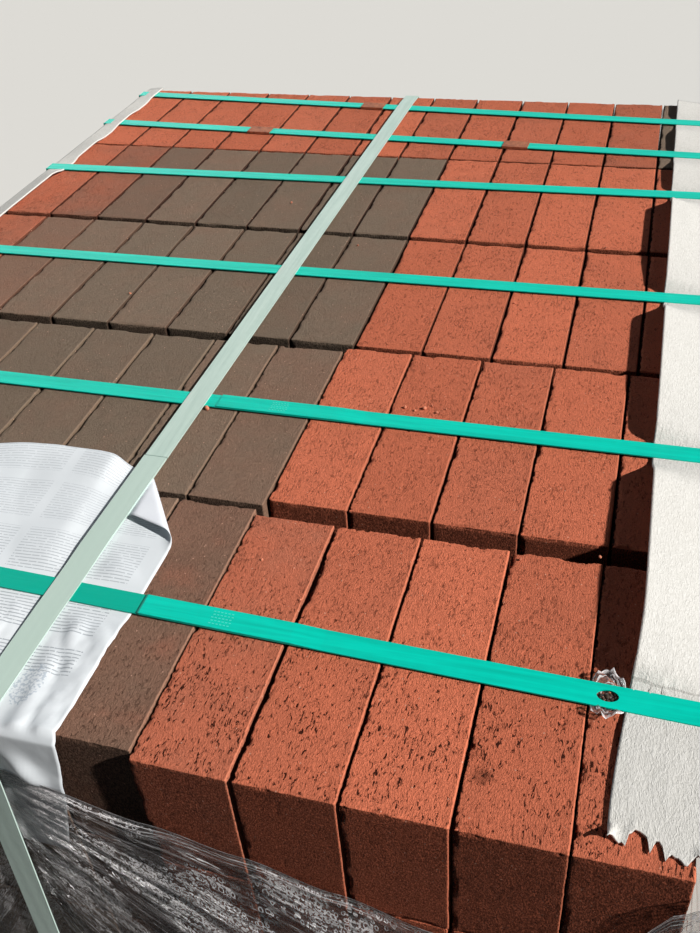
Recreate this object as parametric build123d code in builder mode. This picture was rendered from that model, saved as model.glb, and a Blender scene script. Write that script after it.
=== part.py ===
from build123d import *

import os

# A strapped cube of clay paving bricks standing on a wooden pallet, in millimetres.
# X runs across the load, Y from the front row to the back row, and Z up from the floor.
# The origin is on the floor under the middle of the pallet.

# Bricks, standing on edge with their length along Y
brick_length = 203.2
brick_width = 57.15
brick_height = 101.6
brick_edge = 1.5
side_joint = 1.5
bricks_across = 13
course_count = 8

# Rows from the front to the back: the gap behind each, and how far each is pushed to the right
row_gaps = [16.0, 5.0, 7.7, 3.0]
row_shifts = [0.0, 3.0, 9.5, 8.6, 8.6]

# The bricks of one firing stand together on the right, and those left of them lie further back
right_group = 5
left_set_back = [5.5, -6.0, 0.0, 0.0, 0.0]

# Pallet
pallet_side_overhang = 21.3
pallet_end_overhang = 9.6
deck_board_thickness = 16.0
lead_board_width = 140.0
inner_board_width = 89.0
inner_board_count = 5
stringer_width = 38.0
stringer_height = 89.0
bottom_board_thickness = 16.0
bottom_board_width = 140.0
bottom_board_count = 3

# Board angles over the two top side edges
protector_thickness = 1.5
protector_set_back = 15.0
right_top_leg = 44.0
right_side_leg = 44.0
left_top_leg = 24.0
left_side_leg = 64.0

# Straps across the load, row by row: how far each lies behind the middle of its row,
# at its left end and at its right end
cross_strap_width = 16.0
cross_strap_thickness = 0.9
cross_strap_offsets = [
    [(16.4, -5.6)],
    [(3.2, 3.2)],
    [(15.0, 19.0)],
    [(20.0, 30.0)],
    [(-32.0, -68.0), (78.0, 34.0)],
]

# Welded laps on top, strap by strap: how far right of the lengthwise strap each starts
lap_offsets = [[56.4], [19.0], [], [], [], []]
lap_length = 100.0
lap_taper = 20.0

# Oval hole worn through the front strap
hole_from_right = 47.7
hole_length = 12.0
hole_width = 8.0

# Crimped seals, strap by strap: how far right of the lengthwise strap each one's middle is
seal_offsets = [[], [], [], [], [-162.4, 164.3], [-41.4]]
seal_length = 30.0
seal_wall = 0.8
seal_play = 0.2

# Strap along the load, over the others and round the deck of the pallet
long_strap_width = 18.0
long_strap_thickness = 0.9
long_strap_front_from_right = 390.0
long_strap_back_from_right = 374.0
long_strap_stringer_play = 20.3
long_strap_play = 0.4
long_strap_rise = 0.8
long_lap_end = 246.0

# Sheet lying on the front of the top and folded down the front face
label_width = 216.0
label_top_length = 242.0
label_drop = 114.0
label_lean = 21.0
label_from_right = 336.0
label_corner = 70.0
label_thickness = 0.3
label_play = 0.3

# Clear film round the sides, its front edge sagging between the label and the right corner
film_thickness = 0.3
film_play = 0.3
film_bottom_play = 1.0
film_front_play = 0.9
film_drop = 5.0
film_sag_drop = 102.0
film_sag_from_right = 115.0
film_label_drop = 45.0
film_corner_radius = 3.0

# Scrap of film caught between the front strap and the bricks, round the hole
scrap_width = 19.0
scrap_length = 32.0
scrap_thickness = 0.4
scrap_height = 0.5

# Places of the bricks
rows_deep = len(row_shifts)
pitch = brick_width + side_joint
row_width = bricks_across * pitch - side_joint
row_middle_shift = (max(row_shifts) + min(row_shifts)) / 2
stack_depth = rows_deep * brick_length + sum(row_gaps)
stack_front = -stack_depth / 2
stack_back = stack_depth / 2
left_end = -row_width / 2 + min(row_shifts) - row_middle_shift
right_end = row_width / 2 + max(row_shifts) - row_middle_shift
front_row_right = row_width / 2 + row_shifts[0] - row_middle_shift

# Heights, and the size of the pallet
pallet_width = right_end - left_end + 2 * pallet_side_overhang
pallet_depth = stack_depth + 2 * pallet_end_overhang
deck_underside = bottom_board_thickness + stringer_height
deck_top = deck_underside + deck_board_thickness
stack_bottom = deck_top + cross_strap_thickness
stack_top = stack_bottom + course_count * brick_height
strap_underside = stack_top + protector_thickness
strap_top = strap_underside + cross_strap_thickness

# The lengthwise strap's line over the load, and how far it leans left on its way down the ends
# to pass beside the middle stringer
long_front_x = front_row_right - long_strap_front_from_right
long_back_x = front_row_right - long_strap_back_from_right
long_slope = (long_back_x - long_front_x) / stack_depth
stringer_reach = (long_strap_width + stringer_width) / 2 + long_strap_stringer_play
long_strap_shift = max(long_front_x, long_back_x) + stringer_reach


def row_front(row):
    """Y of the front faces of a row's right-hand bricks."""
    return stack_front + row * brick_length + sum(row_gaps[:row])


def row_middle(row):
    """X of the middle of a row."""
    return row_shifts[row] - row_middle_shift


def brick_place(row, column):
    """X of a brick's middle and Y of its front face."""
    x = row_middle(row) + (column - (bricks_across - 1) / 2) * pitch
    in_left_group = column < bricks_across - right_group
    y = row_front(row) + (left_set_back[row] if in_left_group else 0)
    return x, y


def save(part, name):
    """Label one finished piece and write it under its own name."""
    part.label = name
    export_step(part, f"parts/{name}.step")


os.makedirs("parts", exist_ok=True)


# One brick of the lower courses: its upright edges are worn
with BuildPart() as plain_brick:
    Box(brick_width, brick_length, brick_height, align=(Align.CENTER, Align.MIN, Align.MIN))
    chamfer(plain_brick.edges().filter_by(Axis.Z), length=brick_edge)

# One brick of the top course: the edges round its upper face are worn too
with BuildPart() as top_brick:
    add(plain_brick.part)
    chamfer(top_brick.faces().sort_by(Axis.Z)[-1].edges(), length=brick_edge)


def make_course(number):
    """One course: every brick of the top one, and the outer ring of a lower one."""
    is_top = number == course_count
    height = stack_bottom + (number - 1) * brick_height
    places = []
    for row in range(rows_deep):
        for column in range(bricks_across):
            on_end = row in (0, rows_deep - 1)
            on_side = column in (0, bricks_across - 1)
            if is_top or on_end or on_side:
                places.append((*brick_place(row, column), height))
    with BuildPart() as course:
        with Locations(*places):
            add(top_brick.part if is_top else plain_brick.part)
    save(course.part, f"brick_course_{number}")


for course_number in range(1, course_count + 1):
    make_course(course_number)


# The hidden bricks of the lower courses, as one plain core
core_left = left_end + pitch + max(row_shifts) - min(row_shifts)
core_right = right_end - pitch - max(row_shifts) + min(row_shifts)
core_front = row_front(1)
core_back = row_front(rows_deep - 2) + brick_length
with BuildPart() as brick_core:
    with BuildSketch(Plane.XY.offset(stack_bottom)):
        with Locations(((core_left + core_right) / 2, (core_front + core_back) / 2)):
            Rectangle(core_right - core_left, core_back - core_front)
    extrude(amount=(course_count - 1) * brick_height)
save(brick_core.part, "hidden_brick_core")


def make_board(name, height, thickness, x, y, width, length):
    """A flat board of the pallet, its underside at a height."""
    with BuildPart() as board:
        with BuildSketch(Plane.XY.offset(height)):
            with Locations((x, y)):
                Rectangle(width, length)
        extrude(amount=thickness)
    save(board.part, name)


def spread_boards(name, widths, height, thickness):
    """Boards laid across the pallet with even gaps from its front end to its back end."""
    gap = (pallet_depth - sum(widths)) / (len(widths) - 1)
    for index, width in enumerate(widths):
        y = -pallet_depth / 2 + sum(widths[:index]) + index * gap + width / 2
        make_board(f"{name}_{index + 1}", height, thickness, 0, y, pallet_width, width)


# Pallet: wide lead boards at the ends of the deck, narrower ones between
deck_widths = [lead_board_width] + [inner_board_width] * inner_board_count + [lead_board_width]
spread_boards("deck_board", deck_widths, deck_underside, deck_board_thickness)
spread_boards("bottom_board", [bottom_board_width] * bottom_board_count, 0, bottom_board_thickness)
outer_stringer = (pallet_width - stringer_width) / 2
stringer_places = {"left": -outer_stringer, "middle": 0, "right": outer_stringer}
for side, stringer_x in stringer_places.items():
    make_board(
        f"stringer_{side}", bottom_board_thickness, stringer_height,
        stringer_x, 0, stringer_width, pallet_depth,
    )


def make_protector(name, fold, direction, top_leg, side_leg):
    """An angle of board over a top side edge. The direction points away from the load."""
    outside = fold + direction * protector_thickness
    inside = outside - direction * top_leg
    low = strap_underside - side_leg
    outline = [
        (inside, stack_top), (fold, stack_top), (fold, low),
        (outside, low), (outside, strap_underside), (inside, strap_underside),
    ]
    with BuildPart() as protector:
        with BuildSketch(Plane.XZ.offset(-stack_back)):
            Polygon(*outline, align=None)
        extrude(amount=stack_depth - protector_set_back)
    save(protector.part, name)


make_protector("edge_protector_right", right_end, 1, right_top_leg, right_side_leg)
make_protector("edge_protector_left", left_end, -1, left_top_leg, left_side_leg)


# Each cross strap's row, and Y of its left end and its right end
cross_straps = []
for strap_row, row_offsets in enumerate(cross_strap_offsets):
    middle_y = row_front(strap_row) + brick_length / 2
    for left_offset, right_offset in row_offsets:
        cross_straps.append((strap_row, middle_y + left_offset, middle_y + right_offset))


def strap_y(index, x):
    """Y of the middle of a cross strap's width at a place across the load."""
    _, left_y, right_y = cross_straps[index]
    return (left_y + right_y) / 2 + (right_y - left_y) / row_width * x


def beside_long_strap(index, distance):
    """X of a place on a cross strap, a distance right of the lengthwise strap."""
    return long_front_x + long_slope * (strap_y(index, 0) - stack_front) + distance


def make_cross_strap(index):
    """A strap pulled tight across one row, from its bottom corners up over both protectors."""
    row, left_y, right_y = cross_straps[index]
    slope = (right_y - left_y) / row_width
    middle = row_middle(row)
    right_face = right_end + protector_thickness
    left_face = left_end - protector_thickness
    corners = [
        (middle - row_width / 2, stack_bottom),
        (middle + row_width / 2, stack_bottom),
        (right_face, strap_underside - right_side_leg),
        (right_face, strap_underside),
        (left_face, strap_underside),
        (left_face, strap_underside - left_side_leg),
    ]
    plane = Plane(
        origin=(0, strap_y(index, 0), stack_top), x_dir=(1, slope, 0), z_dir=(slope, -1, 0)
    )
    reach = abs(right_y - left_y) + cross_strap_width
    with BuildPart() as strap:
        with BuildSketch(Plane.XZ.offset(-strap_y(index, 0))):
            Polygon(*corners, align=None)
            offset(amount=cross_strap_thickness)
            Polygon(*corners, align=None, mode=Mode.SUBTRACT)
            for lap_offset in lap_offsets[index]:
                lap_left = beside_long_strap(index, lap_offset)
                Polygon(
                    (lap_left, strap_top),
                    (lap_left + lap_length + lap_taper, strap_top),
                    (lap_left + lap_length, strap_top + cross_strap_thickness),
                    (lap_left, strap_top + cross_strap_thickness),
                    align=None,
                )
        extrude(amount=reach, both=True)
        with BuildSketch(plane):
            Rectangle(2 * pallet_width, 3 * stack_top)
        extrude(amount=cross_strap_width / 2, both=True, mode=Mode.INTERSECT)
        if index == 0:
            with BuildSketch(Plane.XY.offset(strap_top)):
                with Locations((hole_x, strap_y(index, hole_x))):
                    Ellipse(hole_length / 2, hole_width / 2)
            extrude(amount=-cross_strap_thickness, mode=Mode.SUBTRACT)
    save(strap.part, f"cross_strap_{index + 1}")


hole_x = front_row_right - hole_from_right
for strap_index in range(len(cross_straps)):
    make_cross_strap(strap_index)


def make_seal(number, strap_index, distance):
    """A sleeve crimped round a cross strap, a distance right of the lengthwise strap."""
    _, left_y, right_y = cross_straps[strap_index]
    slope = (right_y - left_y) / row_width
    x = beside_long_strap(strap_index, distance)
    y = strap_y(strap_index, x)
    z = (strap_underside + strap_top) / 2
    plane = Plane(origin=(x, y, z), x_dir=(slope, -1, 0), z_dir=(1, slope, 0))
    with BuildPart() as seal:
        with BuildSketch(plane):
            inner_width = cross_strap_width + 2 * seal_play
            inner_height = cross_strap_thickness + 2 * seal_play
            Rectangle(inner_width + 2 * seal_wall, inner_height + 2 * seal_wall)
            Rectangle(inner_width, inner_height, mode=Mode.SUBTRACT)
        extrude(amount=seal_length / 2, both=True)
    save(seal.part, f"strap_seal_{number}")


seal_number = 0
for sealed_strap, distances in enumerate(seal_offsets):
    for seal_distance in distances:
        seal_number += 1
        make_seal(seal_number, sealed_strap, seal_distance)


# The lengthwise strap touches the cross straps on top, stands off the film on the ends,
# and turns under the deck beside the middle stringer
long_lean = long_strap_shift / (stack_top - deck_underside)
long_stand_off = film_front_play + film_thickness + long_strap_play
first_strap = strap_y(0, long_front_x) - cross_strap_width
last_strap = strap_y(len(cross_straps) - 1, long_back_x) + cross_strap_width
long_corners = [
    (-pallet_depth / 2, deck_underside),
    (pallet_depth / 2, deck_underside),
    (pallet_depth / 2, deck_top),
    (stack_back + long_stand_off, stack_top + long_strap_rise),
    (last_strap, strap_top),
    (first_strap, strap_top),
    (stack_front - long_stand_off, stack_top + long_strap_rise),
    (-pallet_depth / 2, deck_top),
]
long_plane = Plane(
    origin=((long_front_x + long_back_x) / 2, 0, stack_top),
    x_dir=(long_slope, 1, 0),
    z_dir=(1, -long_slope, -long_lean),
)
with BuildPart() as lengthwise_strap:
    with BuildSketch(Plane.YZ):
        Polygon(*long_corners, align=None)
        offset(amount=long_strap_thickness)
        Polygon(*long_corners, align=None, mode=Mode.SUBTRACT)
        lap_back = stack_front + long_lap_end
        long_strap_top = strap_top + long_strap_thickness
        Polygon(
            (lap_back, long_strap_top),
            (lap_back, long_strap_top + long_strap_thickness),
            (lap_back - lap_length, long_strap_top + long_strap_thickness),
            (lap_back - lap_length - lap_taper, long_strap_top),
            align=None,
        )
    extrude(amount=pallet_width / 2, both=True)
    with BuildSketch(long_plane):
        Rectangle(3 * pallet_depth, 3 * stack_top)
    extrude(amount=long_strap_width / 2, both=True, mode=Mode.INTERSECT)
save(lengthwise_strap.part, "lengthwise_strap")


# Sheet: its back right corner is rolled away, and its front part hangs under the film, leaning left
label_right = front_row_right - label_from_right
label_low = stack_top + label_play
label_high = label_low + label_thickness
label_face = stack_front - label_play
label_foot = stack_top - label_drop
with BuildPart() as label_sheet:
    with BuildSketch(Plane.XY.offset(label_low)):
        with Locations((label_right - label_width / 2, label_face - label_thickness)):
            Rectangle(
                label_width, label_top_length + label_play + label_thickness,
                align=(Align.CENTER, Align.MIN),
            )
    extrude(amount=label_thickness)
    chamfer(
        label_sheet.edges().filter_by(Axis.Z).group_by(Axis.Y)[-1].sort_by(Axis.X)[-1],
        length=label_corner,
    )
    with BuildSketch(Plane.XZ.offset(-label_face)):
        Polygon(
            (label_right - label_width, label_high),
            (label_right, label_high),
            (label_right - label_lean, label_foot),
            (label_right - label_width - label_lean, label_foot),
            align=None,
        )
    extrude(amount=label_thickness)
save(label_sheet.part, "label_sheet")


# Film: a thin sleeve round the sides, outside the protectors and the cross straps
film_half_width = (right_end - left_end) / 2 + protector_thickness + cross_strap_thickness + film_play
film_half_depth = stack_depth / 2 + film_front_play
film_low = deck_top + film_bottom_play
film_high = stack_top - film_drop
with BuildPart() as stretch_film:
    with BuildSketch(Plane.XY.offset(film_low)):
        RectangleRounded(2 * film_half_width, 2 * film_half_depth, film_corner_radius)
        offset(amount=film_thickness)
        RectangleRounded(
            2 * film_half_width, 2 * film_half_depth, film_corner_radius, mode=Mode.SUBTRACT
        )
    extrude(amount=film_high - film_low)
    with BuildSketch(Plane.XZ.offset(film_half_depth - film_play)):
        with BuildLine():
            film_label_high = stack_top - film_label_drop
            sag_low = (front_row_right - film_sag_from_right, stack_top - film_sag_drop)
            ThreePointArc((label_right, film_label_high), sag_low, (right_end, film_high))
            Polyline(
                (right_end, film_high), (right_end, stack_top), (left_end, stack_top),
                (left_end, film_label_high), (label_right, film_label_high),
            )
        make_face()
    extrude(amount=2 * film_front_play, mode=Mode.SUBTRACT)
save(stretch_film.part, "stretch_film")


# Scrap of film beside the hole
with BuildPart() as film_scrap:
    with BuildSketch(Plane.XY.offset(stack_top + scrap_height)):
        with Locations((hole_x, strap_y(0, hole_x))):
            Ellipse(scrap_width / 2, scrap_length / 2)
    extrude(amount=scrap_thickness)
save(film_scrap.part, "film_scrap")
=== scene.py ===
"""How the strapped pallet of clay paving bricks looks, in metres, in the frame of its construction."""

from math import cos, exp, floor, pi, sin

import bmesh
import bpy
from mathutils import Matrix, Vector, noise


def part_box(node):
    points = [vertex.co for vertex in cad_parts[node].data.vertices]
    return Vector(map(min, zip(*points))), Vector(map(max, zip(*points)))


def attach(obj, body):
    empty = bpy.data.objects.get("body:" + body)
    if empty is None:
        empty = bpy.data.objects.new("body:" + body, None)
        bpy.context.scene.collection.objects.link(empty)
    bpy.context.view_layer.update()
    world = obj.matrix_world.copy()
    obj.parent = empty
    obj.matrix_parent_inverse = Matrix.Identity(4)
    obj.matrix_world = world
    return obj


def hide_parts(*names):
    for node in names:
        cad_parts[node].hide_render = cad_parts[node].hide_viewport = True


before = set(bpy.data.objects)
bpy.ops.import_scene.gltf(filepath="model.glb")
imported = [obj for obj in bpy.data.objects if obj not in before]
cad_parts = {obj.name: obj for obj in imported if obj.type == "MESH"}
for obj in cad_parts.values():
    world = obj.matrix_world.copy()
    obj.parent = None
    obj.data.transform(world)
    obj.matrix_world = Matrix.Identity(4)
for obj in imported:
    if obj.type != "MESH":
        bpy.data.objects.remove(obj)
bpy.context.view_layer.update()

# Bricks, standing on edge
BRICK_LENGTH = 0.2032
BRICK_WIDTH = 0.05715
BRICK_HEIGHT = 0.1016
PITCH = 0.05865
BRICKS_ACROSS = 13
RIGHT_GROUP = 5
COURSE_COUNT = 8

# Rows from the front: the gap behind each, its push to the right, and its left bricks' set-back
ROW_GAPS = (0.016, 0.005, 0.0077, 0.003)
ROW_SHIFTS = (0.0, 0.003, 0.0095, 0.0086, 0.0086)
LEFT_SET_BACK = (0.0055, -0.006, 0.0, 0.0, 0.0)
MIDDLE_SHIFT = 0.00475

# Firing of each brick of the top course from left to right: 0 is red, 1 is umber
FIRINGS = (
    (0.90, 0.95, 1.00, 0.90, 0.95, 0.90, 0.85, 0.62, 0.26, 0.06, 0.00, 0.04, 0.08),
    (0.75, 0.80, 0.95, 1.00, 0.95, 1.00, 0.90, 0.80, 0.05, 0.00, 0.10, 0.00, 0.10),
    (0.35, 0.70, 0.90, 1.00, 0.95, 1.00, 1.00, 0.95, 0.00, 0.05, 0.00, 0.08, 0.00),
    (0.30, 0.45, 0.80, 0.90, 1.00, 0.95, 1.00, 0.95, 0.10, 0.08, 0.00, 0.05, 0.10),
    (0.00, 0.10, 0.05, 0.00, 0.15, 0.10, 0.05, 0.20, 0.00, 0.20, 0.05, 0.25, 1.00),
)

# How each row's right-hand lips are painted: 1 is a pale painted highlight, 0 a dark painted shade
LIP_LIGHT_BY_ROW = (1.0, 0.55, 0.12, 0.0, 0.0)

# The load, and heights over it
STACK_FRONT = -0.52385
STACK_BACK = 0.52385
STACK_TOP = 0.9347
FRONT_ROW_RIGHT = 0.375725
RIGHT_END = 0.385225
LEFT_END = -0.385225
STRAP_UNDERSIDE = STACK_TOP + 0.0015
STRAP_THICKNESS = 0.0009
STRAP_TOP = STRAP_UNDERSIDE + STRAP_THICKNESS
SCUFF_PLACE = (FRONT_ROW_RIGHT - 0.106, STACK_FRONT + 0.034, STACK_TOP)
HOLE_X = FRONT_ROW_RIGHT - 0.0477

# Lines that the straps follow: Y of each cross strap at its left end and at its right end
ROW_WIDTH = 0.76095
CROSS_STRAPS = (
    (-0.40585, -0.42785), (-0.19985, -0.19985), (0.02015, 0.02415),
    (0.23615, 0.24615), (0.39025, 0.35425), (0.50025, 0.45625),
)
LONG_FRONT_X = FRONT_ROW_RIGHT - 0.390
LONG_BACK_X = FRONT_ROW_RIGHT - 0.374
LONG_LEAN = 0.050 / 0.8297


# ---- Small helpers

def linear(hex_colour):
    """Turn an sRGB hex colour into the linear colour that a socket takes."""
    channels = [int(hex_colour[place:place + 2], 16) / 255 for place in (1, 3, 5)]
    straight = [c / 12.92 if c <= 0.04045 else ((c + 0.055) / 1.055) ** 2.4 for c in channels]
    return (*straight, 1.0)


def smoothstep(low, high, value):
    """0 below low, 1 above high, and a smooth rise between."""
    share = min(1.0, max(0.0, (value - low) / (high - low)))
    return share * share * (3 - 2 * share)


def ripple(x, y, z=0.0):
    """Even noise from -1 to 1 that is the same in every run."""
    return noise.noise(Vector((x, y, z)))


def cross_strap_y(index, x):
    """Y of the middle of a cross strap over the load."""
    at_left, at_right = CROSS_STRAPS[index]
    return (at_left + at_right) / 2 + (at_right - at_left) * x / ROW_WIDTH


def long_strap_x(y):
    """X of the middle of the lengthwise strap over the load."""
    return LONG_FRONT_X + (LONG_BACK_X - LONG_FRONT_X) * (y - STACK_FRONT) / (STACK_BACK - STACK_FRONT)


def long_strap_x_below(z, at_front):
    """X of the middle of the lengthwise strap where it runs down an end of the load."""
    return (LONG_FRONT_X if at_front else LONG_BACK_X) - LONG_LEAN * (STACK_TOP - z)


def off_cross_straps(x, y, near, far):
    """0 beside any cross strap and 1 well away from all of them."""
    gap = min(abs(y - cross_strap_y(index, x)) for index in range(len(CROSS_STRAPS)))
    return smoothstep(near, far, gap)


def add_to_scene(name, data):
    """Put a mesh, a light or a camera in the scene."""
    thing = bpy.data.objects.new(name, data)
    bpy.context.scene.collection.objects.link(thing)
    return thing


def add_piece(name, mesh, material, nodes=()):
    """Put a finished mesh in the scene, riding on the load and standing for its CAD nodes."""
    piece = add_to_scene(name, mesh)
    if material:
        mesh.materials.clear()
        mesh.materials.append(material)
    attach(piece, "root")
    if nodes:
        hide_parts(*nodes)
    return piece


def mesh_from(name, points, faces):
    """A mesh of points and faces, its faces smooth and turned outwards as given."""
    mesh = bpy.data.meshes.new(name)
    mesh.from_pydata(points, [], faces)
    mesh.polygons.foreach_set("use_smooth", [True] * len(mesh.polygons))
    mesh.update()
    return mesh


def store(mesh, name, values):
    """Keep one number, or one vector, for each point of a mesh under a name."""
    if isinstance(values[0], (int, float)):
        mesh.attributes.new(name, "FLOAT", "POINT").data.foreach_set("value", values)
    else:
        flat = [number for vector in values for number in vector]
        mesh.attributes.new(name, "FLOAT_VECTOR", "POINT").data.foreach_set("vector", flat)


# ---- Node trees

def add_node(tree, kind, sockets=None, **settings):
    """Add a node with its settings. A socket takes a value, or a link from another node's socket."""
    node = tree.nodes.new(kind)
    for name, value in settings.items():
        setattr(node, name, value)
    fill(tree, node, sockets or {})
    return node


def fill(tree, node, sockets):
    """Give a node's sockets their values or links."""
    for name, value in sockets.items():
        if isinstance(value, bpy.types.NodeSocket):
            tree.links.new(value, node.inputs[name])
        else:
            node.inputs[name].default_value = value


class Nodes:
    """A node tree in the making. Each method adds one common node and gives back its output."""

    def __init__(self, tree):
        self.tree = tree

    def add(self, kind, sockets=None, **settings):
        """Add any node and give it back."""
        return add_node(self.tree, kind, sockets, **settings)

    def maths(self, operation, *values, clamp=False):
        """A sum of one, two or three values."""
        sockets = dict(enumerate(values))
        return self.add("ShaderNodeMath", sockets, operation=operation, use_clamp=clamp).outputs[0]

    def times(self, first, second):
        """The product of two values."""
        return self.maths("MULTIPLY", first, second)

    def times_add(self, first, second, third):
        """The first times the second, plus the third."""
        return self.maths("MULTIPLY_ADD", first, second, third)

    def larger(self, first, second):
        """The larger of two values."""
        return self.maths("MAXIMUM", first, second)

    def vectors(self, operation, first, second=None):
        """A vector sum. SCALE takes a number second, and DISTANCE and LENGTH give a number."""
        sockets = {0: first}
        if second is not None:
            sockets["Scale" if operation == "SCALE" else 1] = second
        outputs = self.add("ShaderNodeVectorMath", sockets, operation=operation).outputs
        return outputs["Value" if operation in ("DISTANCE", "LENGTH") else 0]

    def noise(self, place, size_mm, detail=2.0, roughness=0.5, distortion=0.0):
        """Noise whose cells have this size in mm, or these three sizes."""
        scale = 1.0
        if isinstance(size_mm, tuple):
            place = self.vectors("MULTIPLY", place, [1000 / size for size in size_mm])
        else:
            scale = 1000 / size_mm
        layers = {"Detail": detail, "Roughness": roughness, "Distortion": distortion}
        return self.add("ShaderNodeTexNoise", {"Vector": place, "Scale": scale, **layers}).outputs["Fac"]

    def waves(self, place, scale, direction, sockets):
        """Waves along an axis, whose bands stand 314 mm apart at a scale of 1."""
        sockets = {"Vector": place, "Scale": scale, **sockets}
        settings = {"wave_type": "BANDS", "bands_direction": direction, "wave_profile": "SIN"}
        return self.add("ShaderNodeTexWave", sockets, **settings).outputs["Fac"]

    def cells(self, place, size_mm):
        """How far each place is from the middle of the nearest of scattered cells of this size in mm."""
        sockets = {"Vector": place, "Scale": 1000 / size_mm}
        return self.add("ShaderNodeTexVoronoi", sockets).outputs["Distance"]

    def levels(self, value, low=0.0, high=1.0, to_low=0.0, to_high=1.0, kind="LINEAR"):
        """Map the range between two levels to another range, with no overshoot."""
        sockets = {"Value": value, "From Min": low, "From Max": high, "To Min": to_low, "To Max": to_high}
        return self.add("ShaderNodeMapRange", sockets, interpolation_type=kind).outputs["Result"]

    def smooth(self, value, low, high, to_low=0.0, to_high=1.0):
        """Change smoothly between two levels of a value."""
        return self.levels(value, low, high, to_low, to_high, "SMOOTHSTEP")

    def mixed(self, share, first, second):
        """Mix two colours, each a hex value or a link."""
        first, second = [linear(c) if isinstance(c, str) else c for c in (first, second)]
        return self.add("ShaderNodeMix", {0: share, 6: first, 7: second}, data_type="RGBA").outputs[2]

    def ramp(self, share, stops):
        """Colours along a ramp, each at its place from 0 to 1."""
        node = self.add("ShaderNodeValToRGB", {"Fac": share})
        elements = node.color_ramp.elements
        for element, (position, colour) in zip(list(elements), (stops[0], stops[-1])):
            element.position = position
            element.color = linear(colour)
        for position, colour in stops[1:-1]:
            elements.new(position).color = linear(colour)
        return node.outputs["Color"]

    def relief(self, height, strength, depth, under=None, invert=False):
        """The surface's direction where a height is raised by a depth in metres, over another relief."""
        sockets = {"Height": height, "Strength": strength, "Distance": depth}
        if under is not None:
            sockets["Normal"] = under
        return self.add("ShaderNodeBump", sockets, invert=invert).outputs["Normal"]

    def attribute(self, name, output="Fac"):
        """A value that the mesh keeps under a name."""
        return self.add("ShaderNodeAttribute", attribute_name=name).outputs[output]

    def uv(self, name):
        """The place on a named map."""
        return self.add("ShaderNodeUVMap", uv_map=name).outputs["UV"]

    def place(self):
        """The place on the object, in metres."""
        return self.add("ShaderNodeTexCoord").outputs["Object"]

    def parts(self, vector):
        """The X, Y and Z of a vector."""
        return self.add("ShaderNodeSeparateXYZ", {0: vector}).outputs


class Finish(Nodes):
    """A material in the making."""

    def __init__(self, name):
        self.material = bpy.data.materials.new(name)
        self.material.use_nodes = True
        super().__init__(self.material.node_tree)

    def done(self, colour, normal, roughness, **more):
        """Join the colour and the relief to the surface shader, set its other values and hand it over."""
        sockets = {"Base Color": colour, "Roughness": roughness}
        if normal is not None:
            sockets["Normal"] = normal
        names = {"specular": "Specular IOR Level", "metallic": "Metallic", "ior": "IOR", "alpha": "Alpha"}
        sockets.update({names[key]: value for key, value in more.items()})
        fill(self.tree, self.tree.nodes["Principled BSDF"], sockets)
        return self.material


# ---- Materials

# Torn places of the wire-cut faces, shared by the clay's colour and its relief: cells in mm, and levels
TEAR_CELLS = (2.4, 5.5, 3.2)
TEAR_START = 0.635
TEAR_FULL = 0.70


def tear_noise(nodes, own):
    """The noise that tears the clay, at a brick's own place in it."""
    return nodes.noise(own, TEAR_CELLS, 2.0, 0.55, 0.5)


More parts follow.
